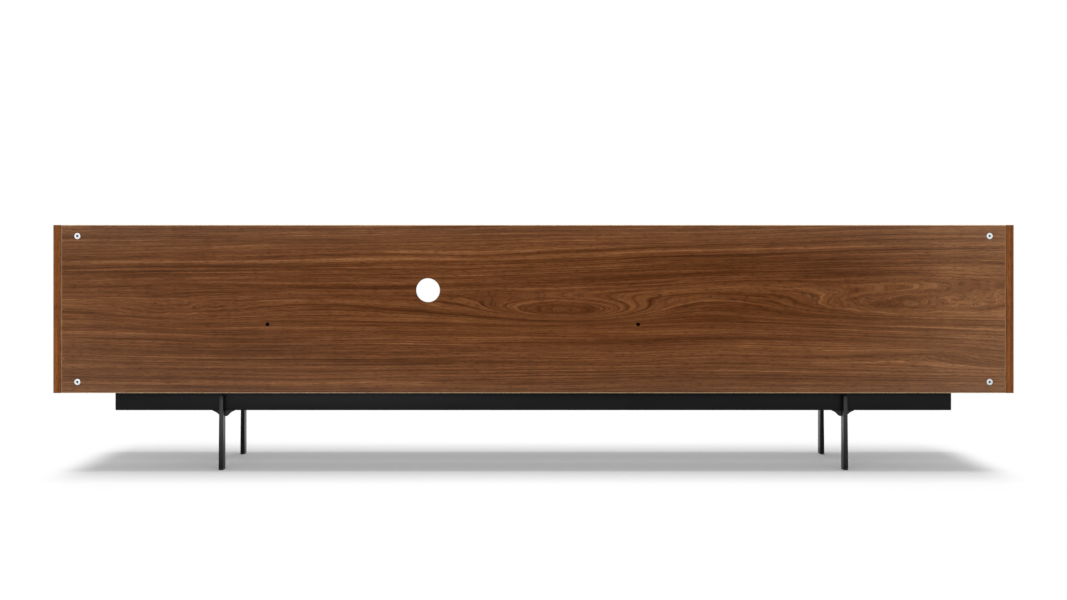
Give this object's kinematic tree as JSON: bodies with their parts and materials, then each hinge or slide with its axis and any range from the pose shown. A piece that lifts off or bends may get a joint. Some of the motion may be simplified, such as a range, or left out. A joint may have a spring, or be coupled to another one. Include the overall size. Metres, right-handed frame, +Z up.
{
  "type": "media cabinet",
  "caption": "Low walnut media cabinet on a black steel base: drop-down flap, open niche over a drawer, side-hung door, finished back with a cable hole and cam locks.",
  "frame": {"origin": "on the floor, under the middle of the cabinet", "axes": "+X to the right seen from the front, +Y to the back, +Z up; the fronts face -Y"},
  "size_m": [2, 0.4, 0.515],
  "materials": {
    "walnut_veneer": "satin lacquered veneer",
    "birch_plywood": "satin lacquer",
    "zinc_die_cast": "as cast, plated",
    "zinc_plated_steel": "bright zinc plate",
    "bright_steel": "bright drawn",
    "black_oxide_steel": "black oxide",
    "grey_plastic": "moulded",
    "black_powder_coat": "fine-textured powder coat",
    "black_plastic": "moulded"
  },
  "bodies": {
    "case": {"side_panel_left": "walnut_veneer", "side_panel_right": "walnut_veneer", "top_panel": "walnut_veneer", "bottom_panel": "walnut_veneer", "divider_left": "walnut_veneer", "divider_right": "walnut_veneer", "niche_shelf": "walnut_veneer", "back_panel": "walnut_veneer", "back_cam_lower_left": "zinc_die_cast", "back_cam_lower_right": "zinc_die_cast", "back_cam_upper_left": "zinc_die_cast", "back_cam_upper_right": "zinc_die_cast", "runner_case_left": "zinc_plated_steel", "runner_case_right": "zinc_plated_steel", "cam_bolt_lower_left": "bright_steel", "cam_bolt_lower_right": "bright_steel", "cam_bolt_upper_left": "bright_steel", "cam_bolt_upper_right": "bright_steel", "divider_screw_left": "black_oxide_steel", "divider_screw_right": "black_oxide_steel", "flap_damper_left": "black_oxide_steel", "flap_damper_right": "black_oxide_steel", "base_screw_front_left": "black_oxide_steel", "base_screw_front_right": "black_oxide_steel", "base_screw_rear_left": "black_oxide_steel", "base_screw_rear_right": "black_oxide_steel", "flap_catch": "grey_plastic", "door_catch": "grey_plastic", "door_bush_lower": "grey_plastic", "door_bush_upper": "grey_plastic", "rail_front": "black_powder_coat", "rail_rear": "black_powder_coat", "cross_member_left": "black_powder_coat", "cross_member_right": "black_powder_coat", "leg_front_left": "black_powder_coat", "leg_front_right": "black_powder_coat", "leg_rear_left": "black_powder_coat", "leg_rear_right": "black_powder_coat", "foot_pad_front_left": "black_plastic", "foot_pad_front_right": "black_plastic", "foot_pad_rear_left": "black_plastic", "foot_pad_rear_right": "black_plastic"},
    "flap": {"flap_door": "walnut_veneer", "flap_spindle_left": "bright_steel", "flap_spindle_right": "bright_steel", "flap_strike": "bright_steel"},
    "side_door": {"door": "walnut_veneer", "door_pin_lower": "bright_steel", "door_pin_upper": "bright_steel", "door_strike": "bright_steel"},
    "drawer": {"drawer_front": "walnut_veneer", "drawer_side_left": "birch_plywood", "drawer_side_right": "birch_plywood", "drawer_bottom": "birch_plywood", "drawer_back": "birch_plywood", "runner_drawer_left": "zinc_plated_steel", "runner_drawer_right": "zinc_plated_steel"},
    "runner_left": {"runner_middle_left": "zinc_plated_steel"},
    "runner_right": {"runner_middle_right": "zinc_plated_steel"}
  },
  "joints": [
    {"name": "flap_hinge", "type": "hinge", "parent": "case", "child": "flap", "pos_m": [-0.605, -0.192, 0.191], "axis": [1, 0, 0], "range_deg": [0, 90]},
    {"name": "door_hinge", "type": "hinge", "parent": "case", "child": "side_door", "pos_m": [0.974, -0.192, 0.34], "axis": [0, 0, 1], "range_deg": [0, 100]},
    {"name": "drawer_slide", "type": "slide", "parent": "case", "child": "drawer", "axis": [0, -1, 0], "range_m": [0, 0.3]},
    {"name": "runner_left_slide", "type": "slide", "parent": "case", "child": "runner_left", "axis": [0, -1, 0], "range_m": [0, 0.15]},
    {"name": "runner_right_slide", "type": "slide", "parent": "case", "child": "runner_right", "axis": [0, -1, 0], "range_m": [0, 0.15]}
  ],
  "couplings": [
    {"joint": "runner_left_slide", "follows": "drawer_slide", "ratio": 0.5},
    {"joint": "runner_right_slide", "follows": "drawer_slide", "ratio": 0.5}
  ]
}
